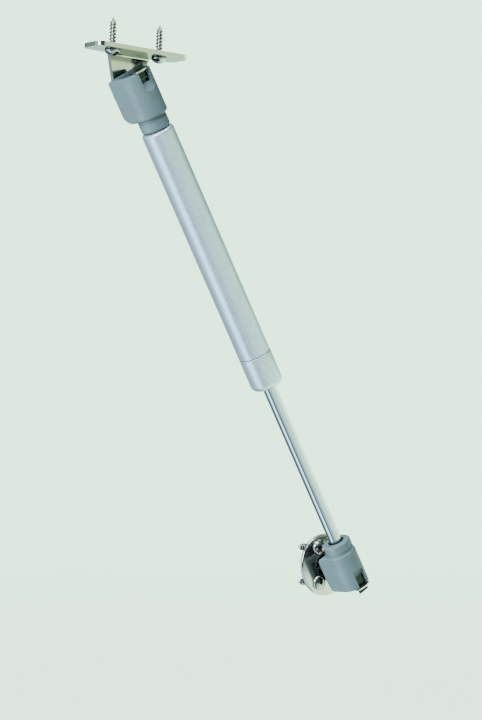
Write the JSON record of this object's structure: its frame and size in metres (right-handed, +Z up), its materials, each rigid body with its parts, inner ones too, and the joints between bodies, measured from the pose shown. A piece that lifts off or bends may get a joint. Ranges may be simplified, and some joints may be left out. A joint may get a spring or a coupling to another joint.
{
  "type": "gas strut stay",
  "caption": "Gas strut stay for a lift-up flap: a gas spring with plastic ball sockets, held by a round cabinet bracket and an angled flap bracket.",
  "frame": {"origin": "centre of the cabinet disc's back face, in the face that lies on the cabinet's side panel, at the middle of the three screws", "axes": "+X points away from the side panel and along both ball studs, +Z is up, and -Y points out of the cabinet, towards the room"},
  "size_m": [0.0374, 0.1613, 0.2589],
  "materials": {
    "nickel_disc": "bright nickel plate",
    "nickel_bracket": "bright nickel plate",
    "nickel_stud": "bright nickel plate",
    "screw_nickel": "nickel plate",
    "grey_plastic": "fine moulded satin",
    "spring_steel": "bright rolled strip",
    "hard_chrome": "ground and hard-chromed",
    "washer_steel": "plain stamped",
    "piston_alloy": "turned",
    "white_plastic": "plain",
    "silver_tube": "fine silver metallic lacquer",
    "silver_cap": "fine silver metallic lacquer",
    "black_rubber": "moulded",
    "guide_brass": "turned",
    "turned_steel": "turned and zinc-plated"
  },
  "bodies": {
    "cabinet_bracket": {"cabinet_disc": "nickel_disc", "cabinet_ball_stud": "nickel_stud", "cabinet_screws": "screw_nickel"},
    "rod": {"rod_socket": "grey_plastic", "piston_rod": "hard_chrome", "stop_washer": "washer_steel", "piston": "piston_alloy", "piston_ring": "white_plastic", "rear_washer": "washer_steel"},
    "rod_clip": {"rod_safety_clip": "spring_steel"},
    "cylinder": {"cylinder_tube": "silver_tube", "rod_end_cap": "silver_cap", "rod_wiper": "black_rubber", "rod_guide": "guide_brass", "rod_seal": "black_rubber", "seal_washer": "washer_steel", "end_plug": "turned_steel", "plug_seal": "black_rubber"},
    "upper_socket": {"cylinder_socket": "grey_plastic"},
    "cylinder_clip": {"cylinder_safety_clip": "spring_steel"},
    "flap_mount": {"flap_bracket": "nickel_bracket", "flap_ball_stud": "nickel_stud", "flap_screws": "screw_nickel"}
  },
  "joints": [
    {"name": "cabinet_ball", "type": "hinge", "parent": "cabinet_bracket", "child": "rod", "pos_m": [0.016, 0, 0], "axis": [1, 0, 0], "range_deg": [-60, 90]},
    {"name": "rod_slide", "type": "slide", "parent": "rod", "child": "cylinder", "axis": [0, -0.5, 0.866], "range_m": [-0.08, 0], "stiffness_N_per_m": 60, "springref_m": 0.2},
    {"name": "socket_turn", "type": "hinge", "parent": "cylinder", "child": "upper_socket", "pos_m": [0.016, -0.11, 0.19053], "axis": [0, -0.5, 0.866], "range_deg": [-180, 180]},
    {"name": "flap_ball", "type": "hinge", "parent": "upper_socket", "child": "flap_mount", "pos_m": [0.016, -0.1225, 0.21218], "axis": [1, 0, 0], "range_deg": [-60, 120]},
    {"name": "rod_clip_pull", "type": "slide", "parent": "rod", "child": "rod_clip", "axis": [0, 0.5, -0.866], "range_m": [0, 0.003]},
    {"name": "cylinder_clip_pull", "type": "slide", "parent": "upper_socket", "child": "cylinder_clip", "axis": [0, -0.5, 0.866], "range_m": [0, 0.003]}
  ]
}
